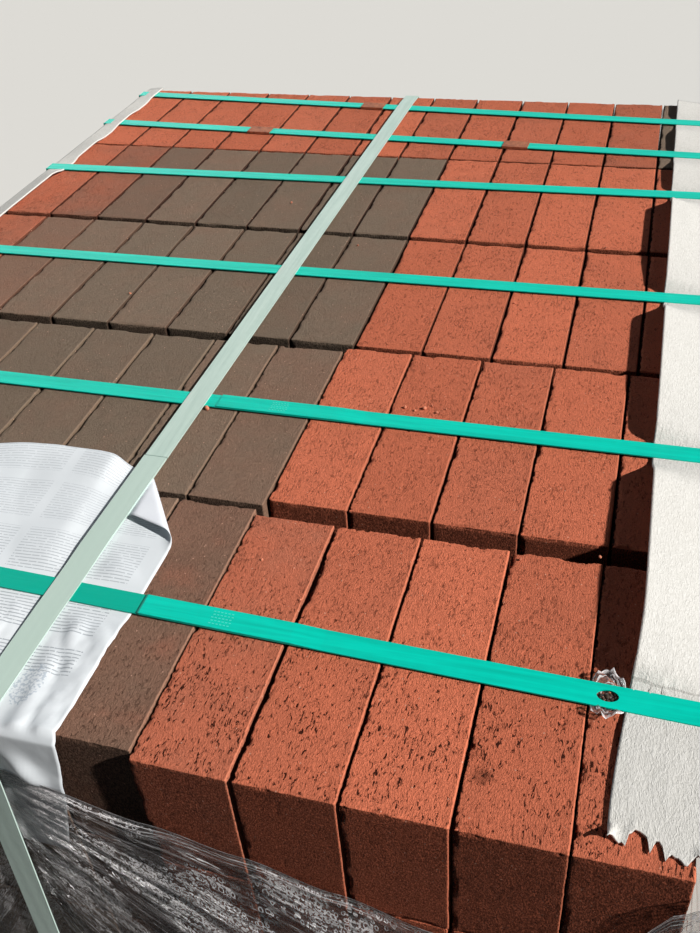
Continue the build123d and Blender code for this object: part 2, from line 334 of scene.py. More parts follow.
def wire_cut_clay():
    """Clay brick, wire cut and fired: matt, drawn into a coarse grain, torn and pitted here and there."""
    clay = Finish("wire_cut_fired_clay")
    place = clay.place()
    parts = clay.parts(place)
    own = clay.vectors("ADD", place, clay.attribute("cut", "Vector"))
    firing, shade, across, upward, lip_light, cut_face = [
        clay.attribute(name) for name in ("firing", "shade", "across", "upward", "lip_light", "open")
    ]

    # Drawn grain 0.8 mm wide and 1.8 mm long, and slits 1.4 mm wide and 4.6 mm long, closer in some patches
    grain = clay.noise(own, (0.8, 1.8, 1.7), 3.0, 0.7, 0.25)
    patches = clay.noise(own, (16, 24, 16))
    slit_noise = clay.noise(own, (1.35, 4.6, 1.8), 2.0, 0.55, 0.9)
    crowded = clay.times_add(patches, 0.30, slit_noise)
    slit_depth = clay.smooth(crowded, 0.755, 0.800)
    slits = clay.smooth(crowded, 0.785, 0.797)
    tearing = tear_noise(clay, own)
    tear_depth = clay.smooth(tearing, TEAR_START, TEAR_FULL)
    tears = clay.smooth(tearing, TEAR_START + 0.03, TEAR_FULL)
    bareness = clay.times_add(cut_face, 0.8, 0.2)
    torn = clay.times(clay.larger(tears, slits), bareness)

    # Body colours of the two firings, uneven over each brick. Upright faces get painted shade, darker than
    # the top, and more grit
    mottle = clay.noise(own, (38, 38, 38), 3.0, 0.6)
    uneven_firing = clay.maths("SUBTRACT", clay.times_add(mottle, 0.4, firing), 0.2, clamp=True)
    firing_colours = ((0.0, "#C86F52"), (0.25, "#BA6A50"), (0.6, "#896857"), (1.0, "#7A6A5B"))
    body = clay.ramp(uneven_firing, firing_colours)
    painted_side_shade = clay.smooth(upward, 0.25, 0.75, 0.62, 1.0)
    brightness = clay.times(clay.smooth(shade, 0.0, 1.0, 1.00, 1.18), painted_side_shade)
    grit_gain = clay.times_add(clay.smooth(upward, 0.3, 0.8, 1.0, 0.0), 5.0, 1.0)
    contrast = clay.times_add(clay.smooth(grain, 0.34, 0.66, -0.10, 0.08), grit_gain, 1.0)
    lit_body = clay.vectors("SCALE", body, clay.times(brightness, contrast))

    # The right-hand lip, about 1 mm wide, is smooth, with a pale painted highlight in front and a dark
    # painted shade further back
    side = BRICK_WIDTH / 2
    lip = clay.smooth(clay.times_add(grain, 0.001, across), side - 0.0004, side + 0.0001)
    lip_highlight_and_shade = clay.mixed(lip_light, "#2C1712", clay.mixed(firing, "#D27C5E", "#97826C"))
    lip_share = clay.times(lip, clay.smooth(lip_light, 0.0, 1.0, 0.85, 0.3))
    with_lip = clay.mixed(lip_share, lit_body, lip_highlight_and_shade)

    # Tears and slits get painted shade inside, most of all on red bricks in front, and a few pale grains
    # show
    near_front = clay.smooth(parts["Y"], -0.46, -0.36, 1.0, 0.4)
    torn_weight = clay.times(clay.smooth(firing, 0.2, 0.8, 0.95, 0.22), near_front)
    torn_shaded = clay.mixed(clay.times(torn, torn_weight), with_lip, "#28100A")
    pale_grains = clay.smooth(clay.cells(own, 7), 0.05, 0.09, 0.6, 0.0)
    grained = clay.mixed(pale_grains, torn_shaded, "#E3B29A")

    # One scuff darkens a front brick
    from_scuff = clay.times_add(grain, 0.006, clay.vectors("DISTANCE", place, SCUFF_PLACE))
    scuffed = clay.mixed(clay.smooth(from_scuff, 0.006, 0.010, 0.5, 0.0), grained, "#5A3022")

    # The broken left-hand arris, facing away from the light into the joint, gets a dark painted shade, but
    # not the outermost brick's, whose side is open to the air
    joint_shade_edge = clay.times_add(slit_noise, -0.0042, across)
    in_joint = clay.smooth(joint_shade_edge, -side - 0.0019, -side - 0.0016, 1.0, 0.0)
    painted_joint_shade = clay.times(in_joint, clay.maths("GREATER_THAN", parts["X"], LEFT_END + 0.012))
    joint_shaded = clay.mixed(clay.times(painted_joint_shade, 0.9), scuffed, "#140C0A")

    # The relief: tears and slits cut in, and over them the grain, both off the smooth lip
    rough_side = clay.maths("SUBTRACT", 1.0, lip)
    depths = clay.times(clay.times_add(tear_depth, 1.3, slit_depth), clay.times(rough_side, bareness))
    torn_relief = clay.relief(clay.times(depths, torn_weight), 1.0, 0.0024, invert=True)
    ridges = clay.times(clay.smooth(grain, 0.36, 0.62), clay.times(rough_side, grit_gain))
    return clay.done(joint_shaded, clay.relief(ridges, 1.0, 0.00035, torn_relief), 0.9, specular=0.06)


def shaded_joint_clay():
    """The same clay where only joints show it, painted dark as the shade in the joints: matt and coarse."""
    clay = Finish("fired_clay_in_the_joints")
    mottle = clay.noise(clay.place(), 20, 3.0)
    return clay.done(clay.mixed(mottle, "#6B3A2B", "#4E3B31"), None, 0.95, specular=0.06)


def plain_finish(name, light, dark, grain_mm, roughness):
    """A finish between two near colours, in patches of a given size, with a matching relief."""
    finish = Finish(name)
    patches = finish.noise(finish.place(), grain_mm, 3.0, 0.6)
    return finish.done(finish.mixed(patches, light, dark), finish.relief(patches, 0.3, 0.0003), roughness)


def embossed_strapping(name, lit, deep, along, lap_end=None, dull="#00A189"):
    """Extruded strapping: bright, satin, embossed on both faces. Before a lap's end it is darker, and a
    thin dark line of painted shade marks that end.
    """
    strap = Finish(name)
    place = strap.place()
    # The rolled waffle is drawn faintly, in crossing waves 10 mm apart
    uneven = {"Distortion": 0.4, "Detail Scale": 3.0}
    ribs = [strap.waves(place, 31.25, direction, uneven) for direction in ("X", "Y")]
    waffle = strap.relief(strap.times(ribs[0], ribs[1]), 0.25, 0.0002)
    # Streaks 71 mm long and 4 mm wide
    length, width, height = 1000 / 14, 1000 / 260, 1000 / 120
    size_mm = (length, width, height) if along == "X" else (width, length, height)
    streaks = strap.noise(place, size_mm, 3.0, 0.6)
    colour = strap.mixed(strap.levels(streaks, 0.35, 0.7), lit, deep)
    if lap_end is not None:
        run = strap.parts(place)[along]
        before = strap.times(strap.maths("LESS_THAN", run, lap_end), 0.8)
        # The lap's end: a thin dark line of painted shade
        lap_end_shade = strap.times(strap.maths("COMPARE", run, lap_end, 0.0008), 0.6)
        colour = strap.mixed(lap_end_shade, strap.mixed(before, colour, dull), "#2E5A4E")
    return strap.done(colour, strap.relief(streaks, 0.3, 0.0004, waffle), 0.42, specular=0.12)


def rusted_sheet_steel():
    """Thin blued steel of a strap seal, gone orange-brown with rust: dull, blotched and pitted."""
    steel = Finish("rusted_sheet_steel")
    blotch = steel.noise(steel.place(), 6, 4.0, 0.7)
    rust = steel.ramp(blotch, ((0.3, "#74402B"), (0.72, "#BE7650")))
    return steel.done(rust, steel.relief(blotch, 0.5, 0.0004), 0.7, metallic=0.25)


def fibre_board():
    """Felted white fibre board: matt, embossed with fine crossing fibres, with faint wear and a crease
    drawn as a line of painted shade.
    """
    board = Finish("felted_fibre_board")
    place = board.place()
    parts = board.parts(place)
    # Wrinkles 1.2 mm wide and 3.4 mm long along the board, and shorter fibres across them
    wrinkles = board.noise(place, (1.2, 3.4, 1.2), 2.0, 0.6, 1.0)
    fibres = board.noise(place, (2.8, 1.2, 1.2), 2.0, 0.6, 1.0)
    nap = board.times_add(fibres, 0.5, wrinkles)
    paper = board.mixed(board.levels(nap, 0.55, 0.92), "#CCCAC4", "#DBD9D4")
    wear = board.noise(place, 45, 4.0, 0.6)
    dirty = board.mixed(board.levels(wear, 0.58, 0.8, 0.0, 0.18), paper, "#C9C3B8")
    # A line of painted shade marks a crease beside the front strap on the right-hand board
    wander = board.times_add(wear, 0.006, parts["Y"])
    on_crease = board.maths("COMPARE", wander, cross_strap_y(0, RIGHT_END) + 0.0165, 0.0006)
    on_right = board.maths("GREATER_THAN", parts["X"], 0.0)
    crease_shaded = board.mixed(board.times(board.times(on_crease, on_right), 0.4), dirty, "#8D8A84")
    return board.done(crease_shaded, board.relief(nap, 0.9, 0.0006), 0.95, specular=0.15)


def printed_paper():
    """White coated paper with faint grey printed lines, as blocks of plain strokes with margins."""
    paper = Finish("coated_white_paper")
    spot = paper.uv("sheet")
    parts = paper.parts(spot)
    across, along = parts["X"], parts["Y"]
    # Lines 2.6 mm apart, on a sheet map in metres
    row_place = paper.times(along, 1 / 0.0026)
    on_line = paper.maths("COMPARE", paper.maths("FRACT", row_place), 0.5, 0.16)
    # Strokes about 4 mm long with gaps, different in each line
    stroke_sockets = {"X": paper.times(across, 1 / 0.004), "Y": paper.maths("FLOOR", row_place)}
    stroke_cell = paper.add("ShaderNodeCombineXYZ", stroke_sockets).outputs[0]
    strokes = paper.noise(stroke_cell, 1000, 3.0, 0.8)
    # Blocks of lines 37 mm high, 47 mm apart, with a margin on both sides, a gutter and none near the fold
    block_place = paper.times(along, 1 / 0.047)
    off_middle = paper.maths("ABSOLUTE", paper.maths("SUBTRACT", across, 0.108))
    ink = on_line
    for mask in (
        paper.maths("GREATER_THAN", strokes, 0.44),
        paper.maths("LESS_THAN", paper.maths("FRACT", block_place), 0.78),
        paper.maths("LESS_THAN", off_middle, 0.094),
        paper.maths("GREATER_THAN", off_middle, 0.004),
        paper.maths("GREATER_THAN", along, 0.157),
    ):
        ink = paper.times(ink, mask)
    ink_share = paper.times(ink, paper.levels(along, 0.19, 0.30, 0.6, 0.3))
    soil = paper.noise(spot, 60, 4.0)
    printed = paper.mixed(ink_share, paper.mixed(soil, "#E8ECEF", "#D4DADE"), "#6E7680")
    # Fine droplets stand in one patch near the fold, about 25 mm by 40 mm
    from_patch = paper.vectors("SUBTRACT", spot, (0.181, 0.147, 0.0))
    patch_reach = paper.vectors("LENGTH", paper.vectors("MULTIPLY", from_patch, (1.0, 0.62, 1.0)))
    in_patch = paper.levels(paper.times_add(soil, 0.016, patch_reach), 0.022, 0.017)
    droplets = paper.times(paper.noise(spot, 1.8, 1.0), in_patch)
    damp = paper.mixed(paper.levels(droplets, 0.48, 0.56, 0.0, 0.55), printed, "#93A3B3")
    crumple = paper.times_add(droplets, 0.8, paper.noise(spot, 9, 3.0))
    return paper.done(damp, paper.relief(crumple, 0.2, 0.0006), 0.5, ior=1.5)


def stretch_wrap(name, droplet_share):
    """Clear polyethylene stretch wrap: see-through and glossy. Its strained folds, droplets and edge are
    painted bright, partly as whitened film and partly as painted highlight.
    """
    wrap = Finish(name)
    spot = wrap.uv("wrap")
    depth = wrap.attribute("depth")

    def folds(length_mm, width_mm):
        """The noise of strained folds of one size."""
        return wrap.noise(spot, (length_mm, width_mm, 1000.0), 4.0, 0.62, 0.7)

    def falling(value, low, high, top=1.0):
        """Top below the low level, and 0 above the high one."""
        return wrap.smooth(value, low, high, top, 0.0)

    # Folds and thin threads along them, coming and going, are painted bright: partly whitened film, partly
    # painted highlight
    broad = folds(120, 9)
    fine = folds(80, 2.4)
    slow = folds(190, 13)
    broad_share = wrap.times_add(wrap.smooth(broad, 0.55, 0.67), 0.26, 0.01)
    fine_share = wrap.times_add(wrap.smooth(fine, 0.56, 0.66), 0.40, broad_share)
    from_thread = wrap.maths("PINGPONG", wrap.times(slow, 7.0), 0.5)
    threads = wrap.times(falling(from_thread, 0.03, 0.12), wrap.smooth(folds(28, 5), 0.40, 0.66))

    # Water gathers under the sagging edge in front, and little of it stands elsewhere
    run = wrap.parts(wrap.place())["Y"]
    on_face = falling(run, STACK_FRONT - 0.001, STACK_FRONT + 0.004)
    in_front = wrap.times(on_face, falling(depth, 0.10, 0.30))
    wetness = wrap.levels(in_front, 0.0, 1.0, 0.06, droplet_share)

    # Wet patches between the layers: a white speckle in the middle, and rings and beads round it, painted
    # bright as highlights on the water
    wet = wrap.noise(spot, 48)
    rings = [
        wrap.maths("COMPARE", wrap.cells(spot, size_mm), radius, line)
        for size_mm, radius, line in ((5.5, 0.34, 0.05), (3.2, 0.32, 0.07))
    ]
    beads = falling(wrap.cells(spot, 3.6), 0.10, 0.17)
    speckle = wrap.levels(wrap.noise(spot, 1.7, 1.0), 0.48, 0.56, 0.16, 1.0)
    all_drops = wrap.larger(wrap.larger(rings[0], rings[1]), beads)
    drops = wrap.times(all_drops, wrap.times(wrap.smooth(wet, 0.42, 0.50), wetness))
    foam = wrap.times(wrap.times(speckle, wrap.smooth(wet, 0.52, 0.58)), wetness)

    # The edge gets a painted highlight, and so do strained lines 3.4 mm apart close under it
    line_place = wrap.times(wrap.times_add(slow, 0.006, depth), 1 / 0.0034)
    hem_lines = wrap.times(
        falling(wrap.maths("PINGPONG", line_place, 0.5), 0.06, 0.17), falling(depth, 0.011, 0.018, 0.75),
    )
    edge = wrap.larger(falling(depth, 0.0004, 0.0022, 0.7), hem_lines)
    hem = wrap.maths("ADD", edge, falling(depth, 0.006, 0.02, 0.10))
    shining = wrap.larger(wrap.larger(fine_share, wrap.times(threads, 0.8)), wrap.larger(drops, foam))
    bright = wrap.maths("ADD", shining, hem, clamp=True)
    height = wrap.times_add(drops, 0.22, wrap.times_add(fine, 0.35, broad))
    return wrap.done(
        wrap.mixed(bright, "#3E3637", "#FFFAFA"), wrap.relief(height, 1.0, 0.012), 0.16,
        alpha=wrap.levels(bright, 0.0, 1.0, 0.30, 0.97), ior=1.5, specular=0.35,
    )


def sawn_pine(name, along):
    """Rough-sawn softwood gone slightly grey: long grain, with saw marks across it."""
    pine = Finish(name)
    place = pine.place()
    # Grain lines 3 mm apart and 150 mm long
    grain = pine.noise(place, (150, 3, 3) if along == "X" else (3, 150, 3), 4.0, 0.6, 0.4)
    wood = pine.ramp(grain, ((0.32, "#8A6B48"), (0.66, "#C9A878")))
    weather = pine.levels(pine.noise(place, 110, 3.0), 0.4, 0.75, 0.0, 0.6)
    # Saw marks 25 mm apart across the board
    saw = pine.waves(place, 12.5, along, {"Distortion": 2.0, "Detail": 2.0})
    relief = pine.relief(pine.times_add(saw, 0.35, grain), 0.7, 0.0008)
    return pine.done(pine.mixed(weather, wood, "#9C9284"), relief, 0.85)


CLAY = wire_cut_clay()
SHADED_JOINT_CLAY = shaded_joint_clay()
GREEN_STRAP = embossed_strapping("green_polyester_strapping", "#00CFB8", "#00BAA4", "X")
FRONT_STRAP = embossed_strapping(
    "green_polyester_strapping_with_lap", "#00CFB8", "#00BAA4", "X", FRONT_ROW_RIGHT - 0.3315,
)
PALE_STRAP = embossed_strapping(
    "pale_polypropylene_strapping", "#C1D4CA", "#AFC5BB", "Y", STACK_FRONT + 0.246, "#B8CCC2",
)
SEAL_STEEL = rusted_sheet_steel()
FIBRE_BOARD = fibre_board()
PAPER = printed_paper()
PAPER_BACK = plain_finish("uncoated_paper_back", "#EEF1F6", "#DFE3EA", 14, 0.6)
WRAP = stretch_wrap("clear_stretch_wrap", 0.8)
SCRAP_WRAP = stretch_wrap("crumpled_wrap_scrap", 0.3)
WELD = plain_finish("welded_polyester", "#62DFCA", "#3FD0B8", 3, 0.3)
CRUMB_CLAY = plain_finish("broken_fired_clay", "#E09A7A", "#B4593C", 2, 0.95)
# Litter, dark as real debris and darker still as painted shade of the strap's hole
DARK_HOLE_LITTER = plain_finish("dry_leaf_litter", "#4A3B2C", "#17120F", 2, 0.9)
NAIL_STEEL = plain_finish("zinc_coated_nail_steel", "#8D8B86", "#6E6A64", 3, 0.45)
PINE_ACROSS = sawn_pine("sawn_pine_across", "X")
PINE_ALONG = sawn_pine("sawn_pine_along", "Y")


# ---- Cut blocks, and setters that set shapes on points

ALL_SIDES = [(axis, end) for axis in range(3) for end in (0, 1)]


def cuts_along(length, edge_cuts, step):
    """Places of the cuts along one side of a block: close together near both ends, even between."""
    near = [0.0, *edge_cuts]
    span = length - 2 * near[-1]
    count = max(1, round(span / step))
    middle = [near[-1] + span * share / count for share in range(1, count)]
    return near + middle + [length - place for place in reversed(near)]


def core_and_out(flat, half, radius):
    """The middle of the rounding next to a point on a block's flat outside, and the direction outwards."""
    core = Vector([min(half[axis] - radius, max(radius - half[axis], flat[axis])) for axis in range(3)])
    return core, (flat - core).normalized()


def block_mesh(name, cuts, place_corner, whole_sides=ALL_SIDES, rings=0):
    """A block cut into cells. Each side is an axis and its low or high end. One that isn't whole is cut
    only in rings near its edges, round one large face."""
    last = [len(places) - 1 for places in cuts]
    block = bmesh.new()
    known = {}

    def corner(fixed, level, i, j):
        """The point at a crossing of cuts, on the side where one axis is fixed at a level."""
        spot = [i, j]
        spot.insert(fixed, level)
        spot = tuple(spot)
        if spot not in known:
            known[spot] = block.verts.new(place_corner([cuts[axis][spot[axis]] for axis in range(3)]))
        return known[spot]

    for fixed, end in ALL_SIDES:
        level = end * last[fixed]
        u, v = [axis for axis in range(3) if axis != fixed]
        whole = (fixed, end) in whole_sides
        for i in range(last[u]):
            for j in range(last[v]):
                if whole or min(i, j, last[u] - 1 - i, last[v] - 1 - j) < rings:
                    cell = ((i, j), (i + 1, j), (i + 1, j + 1), (i, j + 1))
                    block.faces.new([corner(fixed, level, *spot) for spot in cell])
        if not whole:
            high_u, high_v = last[u] - rings, last[v] - rings
            rim = [(i, rings) for i in range(rings, high_u)]
            rim += [(high_u, j) for j in range(rings, high_v)]
            rim += [(i, high_v) for i in range(high_u, rings, -1)]
            rim += [(rings, j) for j in range(high_v, rings, -1)]
            block.faces.new([corner(fixed, level, *spot) for spot in rim])
    bmesh.ops.recalc_face_normals(block, faces=block.faces)
    mesh = bpy.data.meshes.new(name)
    block.to_mesh(mesh)
    block.free()
    mesh.polygons.foreach_set("use_smooth", [True] * len(mesh.polygons))
    return mesh


class Setter(Nodes):
    """A node tree in the making that sets a shape on every point, with named inputs."""

    def __init__(self, name, inputs):
        tree = bpy.data.node_groups.new(name, "GeometryNodeTree")
        super().__init__(tree)
        self.sockets = {
            label: tree.interface.new_socket(label, in_out="INPUT", socket_type="NodeSocket" + kind)
            for label, kind in inputs.items()
        }
        tree.interface.new_socket("Pieces", in_out="OUTPUT", socket_type="NodeSocketGeometry")
        self.given = self.add("NodeGroupInput").outputs

    def named(self, name, kind):
        """The values that the points keep under a name."""
        node = self.add("GeometryNodeInputNamedAttribute", {"Name": name}, data_type=kind)
        return node.outputs["Attribute"]

    def position(self):
        """The place of each point, in metres."""
        return self.add("GeometryNodeInputPosition").outputs[0]

    def laid(self, shape, **more):
        """The shape on every point, as real geometry."""
        sockets = {"Points": self.given["Places"], "Instance": shape, **more}
        instances = self.add("GeometryNodeInstanceOnPoints", sockets).outputs["Instances"]
        return self.add("GeometryNodeRealizeInstances", {"Geometry": instances}).outputs["Geometry"]

    def moved(self, pieces, shift):
        """The pieces with each of their points shifted."""
        return self.add("GeometryNodeSetPosition", {"Geometry": pieces, "Offset": shift}).outputs[0]

    def done(self, pieces):
        """Give the pieces their finish and end the tree."""
        sockets = {"Geometry": pieces, "Material": self.given["Finish"]}
        finished = self.add("GeometryNodeSetMaterial", sockets).outputs[0]
        self.add("NodeGroupOutput", {"Pieces": finished})
        return self


def set_shapes(name, setter, places, values, given, nodes=()):
    """Set a setter's shape on places that keep these values, as one piece."""
    points = mesh_from(name, places, [])
    for label, numbers in values.items():
        store(points, label, numbers)
    maker = add_to_scene(name + "_maker", points)
    modifier = maker.modifiers.new("setter", "NODES")
    modifier.node_group = setter.tree
    for label, value in given.items():
        modifier[setter.sockets[label].identifier] = value
    ready = bpy.context.evaluated_depsgraph_get()
    mesh = bpy.data.meshes.new_from_object(maker.evaluated_get(ready))
    mesh.name = name
    maker.modifiers.remove(modifier)
    bpy.data.objects.remove(maker)
    return add_piece(name, mesh, None, nodes)


# ---- Bricks

def brick_blank(name, edge_cuts, step, height_step, rings, edge_radius, is_open=True):
    """One brick with rounded edges. An open one is finely cut on its top and its front, and keeps how bare
    they are. The other sides are cut only near their edges."""
    size = (BRICK_WIDTH, BRICK_LENGTH, BRICK_HEIGHT)
    half = [length / 2 for length in size]
    cuts = [cuts_along(*side) for side in zip(size, [edge_cuts] * 3, (step, step, height_step))]

    def place_corner(spot):
        """A corner of a cell, pulled in where it lies on an edge."""
        core, out = core_and_out(Vector([spot[axis] - half[axis] for axis in range(3)]), half, edge_radius)
        return core + out * edge_radius

    mesh = block_mesh(name, cuts, place_corner, ((1, 0), (2, 1)) if is_open else (), rings)
    ragged, inset, bare = [], [], []
    for vertex in mesh.vertices:
        spot = vertex.co
        gaps = [half[axis] - abs(spot[axis]) for axis in range(3)]
        from_edge = sorted(gaps)[1]
        # The right arris wears less than the others
        on_right = spot.x > half[0] - 0.004
        ragged.append((1 - smoothstep(0.0008, 0.0025, from_edge)) * (0.22 if on_right else 1.0))
        # Chips go inwards, away from the two or three nearest faces
        near = [max(0.0, 0.0045 - half[axis] + abs(spot[axis])) for axis in range(3)]
        inward = Vector([-near[axis] if spot[axis] > 0 else near[axis] for axis in range(3)])
        inset.append(inward.normalized())
        # The top is barer than the ends
        on_top = gaps[2] < 0.0002 and spot.z > 0
        openness = 1.0 if on_top else 0.4 if gaps[1] <= 0.0002 else 0.0
        bare.append(openness * smoothstep(0.0005, 0.003, from_edge) if is_open else 0.0)
    store(mesh, "across", [vertex.co.x for vertex in mesh.vertices])
    store(mesh, "ragged", ragged)
    store(mesh, "inset", inset)
    store(mesh, "open", bare)
    store(mesh, "upward", [max(0.0, vertex.normal.z) for vertex in mesh.vertices])
    return bpy.data.objects.new(name, mesh)


def brick_setter():
    """Sets a brick on every point, tears its open faces and chips its edges."""
    depths = {"Tear depth": "Float", "Chip depth": "Float"}
    inputs = {"Places": "Geometry", "Blank": "Object", **depths, "Finish": "Material"}
    brick = Setter("brick_setter", inputs)
    blank = brick.add("GeometryNodeObjectInfo", {"Object": brick.given["Blank"]}).outputs["Geometry"]
    bricks = brick.laid(blank)
    own = brick.vectors("ADD", brick.position(), brick.named("cut", "FLOAT_VECTOR"))
    openness = brick.named("open", "FLOAT")

    # Tears, the same ones that the clay paints with shade
    tears = brick.smooth(tear_noise(brick, own), TEAR_START, TEAR_FULL)
    tear_fall = brick.times(brick.times(tears, openness), brick.given["Tear depth"])

    # Chips 3.4 mm long along the edges, in clusters
    chip_noise = brick.noise(own, 3.4, 3.0, 0.65)
    chips = brick.levels(brick.times_add(brick.noise(own, 17, 1.0), 0.9, chip_noise), 0.92, 1.20)
    edge_chips = brick.times(brick.times_add(chips, 0.88, 0.12), brick.named("ragged", "FLOAT"))
    chip_fall = brick.times(edge_chips, brick.given["Chip depth"])
    chip_shift = brick.vectors("SCALE", brick.named("inset", "FLOAT_VECTOR"), chip_fall)

    # Open faces are not quite flat: waves 30 mm long and up to 0.6 mm deep
    wave_fall = brick.times(brick.times(brick.noise(own, 30, 1.0), 0.0006), openness)
    inward = brick.times(brick.maths("ADD", tear_fall, wave_fall), -1.0)
    outward = brick.add("GeometryNodeInputNormal").outputs[0]
    shift = brick.vectors("ADD", brick.vectors("SCALE", outward, inward), chip_shift)
    return brick.done(brick.moved(bricks, shift))


def brick_middle(row, column, course):
    """The middle of a brick, counting rows from the front, columns from the left, courses from below."""
    x = ROW_SHIFTS[row] - MIDDLE_SHIFT + (column - (BRICKS_ACROSS - 1) / 2) * PITCH
    y = STACK_FRONT + row * BRICK_LENGTH + sum(ROW_GAPS[:row]) + BRICK_LENGTH / 2
    if column < BRICKS_ACROSS - RIGHT_GROUP:
        y += LEFT_SET_BACK[row]
    z = STACK_TOP - (COURSE_COUNT - course + 0.5) * BRICK_HEIGHT
    return Vector((x, y, z))


def brick_play(row, column, course):
    """How far a brick sits off its even place, up to 0.45 mm aside and 0.3 mm up or down."""
    chance = Vector((2.3 * row + 0.71 * column, 1.9 * course, 0.4 * column))
    play = Vector((0.00045 * noise.noise(chance), 0.0, 0.0003 * noise.noise(chance * 1.7)))
    # The red bricks in front stand a little apart
    if row == 0 and course == COURSE_COUNT:
        play.x = {8: -0.0006, 9: 0.0005, 10: 0.0005, 11: 0.0006}.get(column, play.x)
    return play


def set_bricks(name, spots, blank, tear_depth, chip_depth):
    """Set worn bricks at their spots, each a row, column and course, as one piece of one course."""
    # Each brick is cut from another place of the same clay
    cuts = [
        (0.37 * column + 0.11 * row, 0.53 * row + 0.07 * column, 0.29 * course)
        for row, column, course in spots
    ]
    values = {
        "firing": [FIRINGS[row][column] for row, column, _ in spots],
        "shade": [0.5 + 0.5 * noise.random_unit_vector().x for _ in spots],
        "lip_light": [LIP_LIGHT_BY_ROW[row] for row, _, _ in spots],
        "cut": cuts,
    }
    given = {"Blank": blank, "Tear depth": tear_depth, "Chip depth": chip_depth, "Finish": CLAY}
    places = [brick_middle(*spot) + brick_play(*spot) for spot in spots]
    course = spots[0][2]
    set_shapes(name, BRICK_SETTER, places, values, given, [f"brick_course_{course}"])


def set_courses():
    """The top course in pieces, its nearest bricks cut most finely, and the outer rings of the others."""
    fine_cuts = (0.0005, 0.0013, 0.0026, 0.0042)
    near = brick_blank("brick_blank_near", fine_cuts, 0.0015, 0.0022, 4, 0.0007)
    nearby = brick_blank("brick_blank_next", fine_cuts, 0.0023, 0.006, 4, 0.0008)
    far = brick_blank("brick_blank_far", (0.0007, 0.002, 0.0042), 0.0046, 0.02, 3, 0.0012)
    low = brick_blank("brick_blank_low", (0.0011, 0.0034), 0.034, 0.034, 2, 0.0014, False)
    left, right = range(6), range(6, BRICKS_ACROSS)
    # Each piece with its row, its columns, its blank and how deep it is torn and chipped
    top_pieces = [
        ("front_row_left_bricks", 0, left, far, 0.0009, 0.0021),
        ("front_row_right_bricks", 0, right, near, 0.0009, 0.0021),
        ("second_row_left_bricks", 1, left, far, 0.0008, 0.0021),
        ("second_row_right_bricks", 1, right, nearby, 0.0008, 0.0021),
    ]
    top_pieces += [
        (f"top_row_{row + 1}_bricks", row, range(BRICKS_ACROSS), far, 0.0005, 0.0020) for row in (2, 3, 4)
    ]
    for name, row, columns, blank, tear_depth, chip_depth in top_pieces:
        set_bricks(name, [(row, column, COURSE_COUNT) for column in columns], blank, tear_depth, chip_depth)
    ring = [
        (row, column) for row in range(5) for column in range(BRICKS_ACROSS)
        if row in (0, 4) or column in (0, BRICKS_ACROSS - 1)
    ]
    for course in range(1, COURSE_COUNT):
        set_bricks(f"outer_bricks_{course}", [(*spot, course) for spot in ring], low, 0.0, 0.0016)


BRICK_SETTER = brick_setter()
noise.seed_set(7)
set_courses()


# ---- Sheets

def sheet_mesh(name, columns, rows, point_of, map_of, map_name):
    """A sheet of square cells. Its points and its map come from two functions of column and row."""
    spots = [(i, j) for j in range(rows + 1) for i in range(columns + 1)]
    width = columns + 1
    faces = [
        (j * width + i, j * width + i + 1, (j + 1) * width + i + 1, (j + 1) * width + i)
        for j in range(rows) for i in range(columns)
    ]
    mesh = mesh_from(name, [point_of(*spot) for spot in spots], faces)
    places = [map_of(*spot) for spot in spots]
    layer = mesh.uv_layers.new(name=map_name)
    for loop in mesh.loops:
        layer.data[loop.index].uv = places[loop.vertex_index]
    return mesh


def thicken(piece, thickness, backing=None):
    """Give a sheet its thickness below its face, with its own backing where it has one."""
    if backing:
        piece.data.materials.append(backing)
    solid = piece.modifiers.new("thickness", "SOLIDIFY")
    solid.thickness = thickness
    solid.offset = -1.0
    solid.material_offset = 1 if backing else 0
    solid.material_offset_rim = 1 if backing else 0


# ---- Printed sheet, laid on the front of the load and folded down its face

LABEL_WIDTH = 0.216
LABEL_TOP = 0.242
LABEL_DROP = 0.114
LABEL_RIGHT = FRONT_ROW_RIGHT - 0.336
LABEL_STEP = 0.0024
PAPER_THICKNESS = 0.0003
LABEL_LEAN = 0.021
FOLD_RADIUS = 0.003
FOLD_ARC = FOLD_RADIUS * pi / 4
FOLD_Y = STACK_FRONT - 0.0006 + FOLD_RADIUS
FOLD_Z = STACK_TOP + 0.0008 - FOLD_RADIUS
# The shallow arc of the back edge: the X of its middle, its half width and its depth
LABEL_CROWN = FRONT_ROW_RIGHT - 0.460
CROWN_REACH = 0.075
CROWN_DEPTH = 0.0125
# Both ends of the line where the back right corner is folded over
CORNER_TIGHT = Vector((-0.0030, -0.29885))
CORNER_OPEN = Vector((0.0397, -0.36185))


def hanging_point(x, across, fall):
    """A point of the sheet's hanging part: on the bricks beside the strap, swelled above the film."""
    x -= LABEL_LEAN * (fall / (LABEL_DROP - FOLD_ARC)) ** 1.4
    z = FOLD_Z - fall
    off_strap = smoothstep(0.010, 0.035, abs(x - long_strap_x_below(z, True)))
    hang = smoothstep(0.0, 0.02, fall)
    above_film = smoothstep(0.052, 0.036, fall)
    slant_fold = 0.0062 * exp(-((LABEL_RIGHT - x - 1.25 * (0.052 - fall)) / 0.013) ** 2)
    slant_fold *= smoothstep(0.0, 0.03, LABEL_WIDTH - across)
    swell = 0.0040 * max(0.0, ripple(x * 26, z * 22, 4)) + 0.0014 * abs(ripple(x * 75, z * 60, 2))
    stand = hang * off_strap * (above_film * (swell + slant_fold) + 0.0006 * abs(ripple(x * 60, z * 40, 2)))
    return (x, FOLD_Y - FOLD_RADIUS - stand, z)


